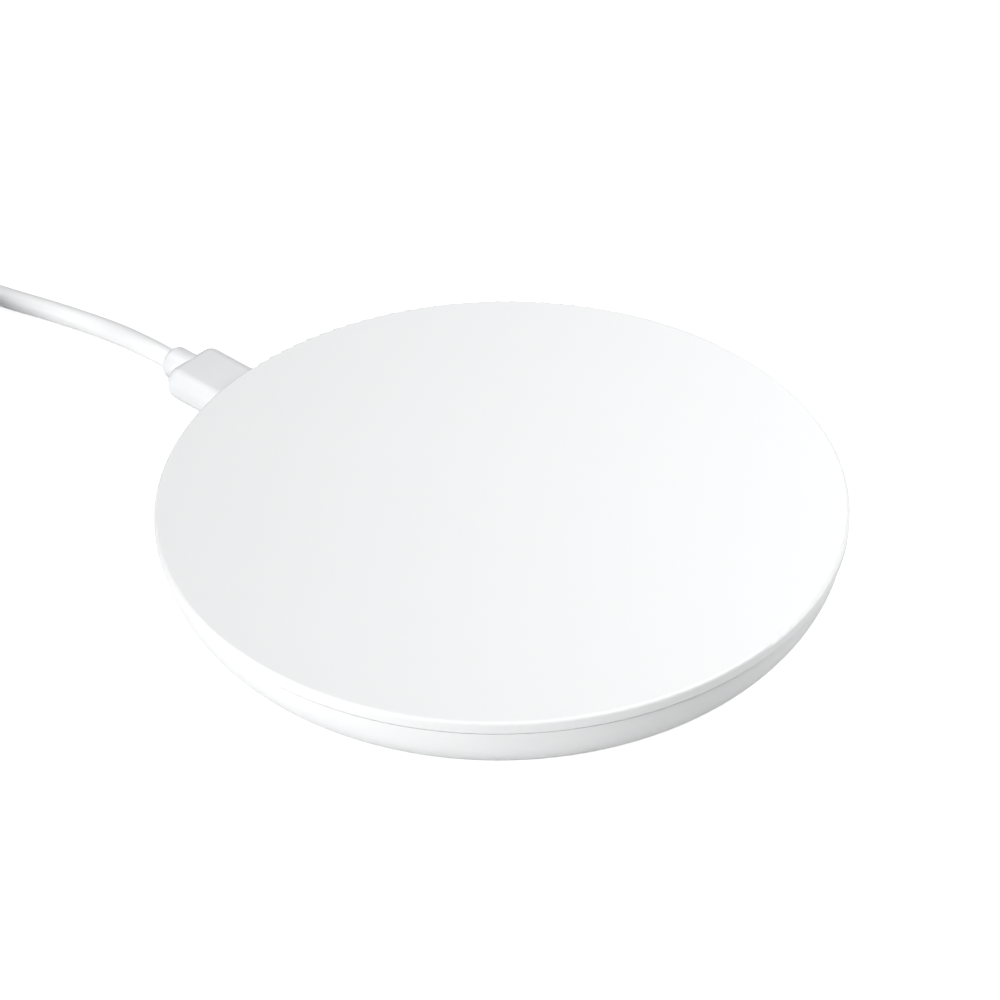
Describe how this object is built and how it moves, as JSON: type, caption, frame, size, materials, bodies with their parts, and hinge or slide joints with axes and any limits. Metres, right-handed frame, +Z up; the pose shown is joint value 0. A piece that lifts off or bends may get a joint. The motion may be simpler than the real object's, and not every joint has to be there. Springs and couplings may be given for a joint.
{
  "type": "wireless charging pad",
  "caption": "Round flat wireless charging pad with a curved base shell, an inductive coil stack inside and a detachable cable that plugs in at the back.",
  "frame": {"origin": "centre of the foot ring's underside, on the table", "axes": "+Z up through the top cover, +Y out of the socket towards the cable, +X to the right when looking along +Y"},
  "size_m": [0.1223, 0.1953, 0.0115],
  "materials": {
    "cover_plastic": "fine satin, moulded",
    "shell_plastic": "fine satin, moulded",
    "inner_plastic": "matt, moulded",
    "foot_silicone": "matt silicone",
    "screw_steel": "zinc plated",
    "coil_copper": "enamelled stranded wire",
    "ferrite": "sintered, matt",
    "adhesive": "double-sided tape",
    "board_laminate": "solder mask",
    "chip_package": "moulded package",
    "ceramic_part": "fired ceramic",
    "light_part": "clear over phosphor",
    "guide_clear": "clear acrylic",
    "connector_steel": "nickel plated sheet",
    "contact_gold": "gold plated",
    "connector_plastic": "glass-filled, matt",
    "plug_plastic": "soft satin overmould",
    "cord_jacket": "smooth satin jacket",
    "tie_strap": "woven hook-and-loop",
    "tongue_plastic": "matt, moulded"
  },
  "bodies": {
    "root": {"top_cover": "cover_plastic", "base_shell": "shell_plastic", "foot_ring": "foot_silicone", "case_screws": "screw_steel", "transmit_coil": "coil_copper", "coil_leads": "coil_copper", "ferrite_sheet": "ferrite", "coil_tape": "adhesive", "coil_carrier": "inner_plastic", "carrier_screws": "screw_steel", "temperature_sensor": "chip_package", "circuit_board": "board_laminate", "controller_chip": "chip_package", "bridge_transistors": "chip_package", "resonant_capacitors": "ceramic_part", "input_capacitors": "ceramic_part", "power_inductor": "ferrite", "chip_resistors": "chip_package", "clock_crystal": "connector_steel", "status_led": "light_part", "light_guide": "guide_clear", "socket_shell": "connector_steel", "socket_tongue": "connector_plastic", "socket_contacts": "contact_gold"},
    "cable": {"plug_shell": "connector_steel", "plug_core": "connector_plastic", "plug_contacts": "contact_gold", "plug_body": "plug_plastic", "plug_collar": "plug_plastic", "cord": "cord_jacket", "cord_coil": "cord_jacket", "cord_tie": "tie_strap", "cord_tail": "cord_jacket", "supply_relief": "plug_plastic", "supply_plug_body": "plug_plastic", "supply_plug_shell": "connector_steel", "supply_plug_tongue": "tongue_plastic", "supply_plug_contacts": "contact_gold"}
  },
  "joints": [
    {"name": "cable_pull", "type": "slide", "parent": "root", "child": "cable", "axis": [0, 1, 0], "range_m": [0, 0.012]}
  ]
}
